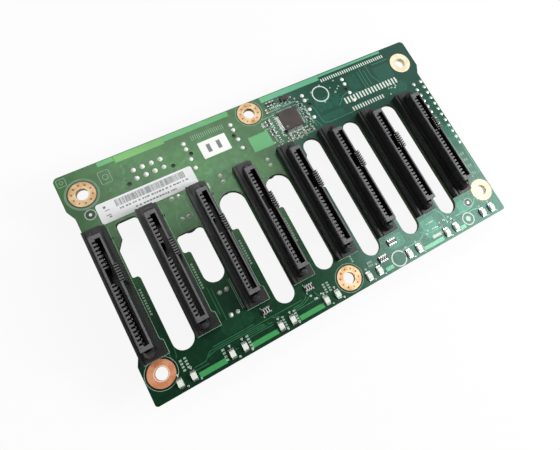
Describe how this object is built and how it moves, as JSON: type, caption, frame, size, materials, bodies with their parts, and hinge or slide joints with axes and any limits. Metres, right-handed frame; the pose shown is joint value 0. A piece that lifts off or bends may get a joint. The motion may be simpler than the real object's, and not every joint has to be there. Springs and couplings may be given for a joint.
{
  "type": "drive backplane board",
  "caption": "Circuit board with a row of upright drive connectors and air vents between them, and power and data cable connectors on its back.",
  "frame": {"origin": "below the middle of the board outline, level with the lowest point of the parts on the back", "axes": "+X along the long edge towards the last bay, +Y towards the edge with the cable connectors, +Z out of the front, the way a drive is pulled out"},
  "size_m": [0.1348, 0.0758, 0.0201],
  "materials": {
    "green_board": "green solder lacquer over glass-fibre laminate",
    "black_plastic": "moulded, slightly glossy",
    "gold_contacts": "gold plated",
    "tinned_metal": "bright tin",
    "cage_steel": "plated sheet",
    "can_aluminium": "satin",
    "chip_black": "moulded resin",
    "capacitor_tan": "ceramic",
    "lamp_white": "moulded",
    "lamp_clear": "clear resin",
    "label_paper": "coated paper"
  },
  "bodies": {
    "root": {"board": "green_board", "cable_cage_left": "cage_steel", "cable_cage_right": "cage_steel", "cable_contacts_left": "gold_contacts", "cable_contacts_right": "gold_contacts", "cable_core_left": "black_plastic", "cable_core_right": "black_plastic", "capacitor_cans": "can_aluminium", "capacitor_leads": "tinned_metal", "chip_capacitors": "capacitor_tan", "chip_part_end_caps": "tinned_metal", "chip_resistors": "chip_black", "code_label": "label_paper", "controller_chip": "chip_black", "controller_leads": "tinned_metal", "drive_connector_1": "black_plastic", "drive_connector_2": "black_plastic", "drive_connector_3": "black_plastic", "drive_connector_4": "black_plastic", "drive_connector_5": "black_plastic", "drive_connector_6": "black_plastic", "drive_connector_7": "black_plastic", "drive_connector_8": "black_plastic", "drive_contacts_1": "gold_contacts", "drive_contacts_2": "gold_contacts", "drive_contacts_3": "gold_contacts", "drive_contacts_4": "gold_contacts", "drive_contacts_5": "gold_contacts", "drive_contacts_6": "gold_contacts", "drive_contacts_7": "gold_contacts", "drive_contacts_8": "gold_contacts", "lamp_bases": "lamp_white", "lamp_end_caps": "tinned_metal", "lamp_lenses": "lamp_clear", "power_header": "black_plastic", "power_pins": "tinned_metal", "power_switch_chip": "chip_black", "power_switch_leads": "tinned_metal", "resistor_array_feet": "tinned_metal", "resistor_arrays": "chip_black", "white_tag": "label_paper"}
  },
  "joints": []
}
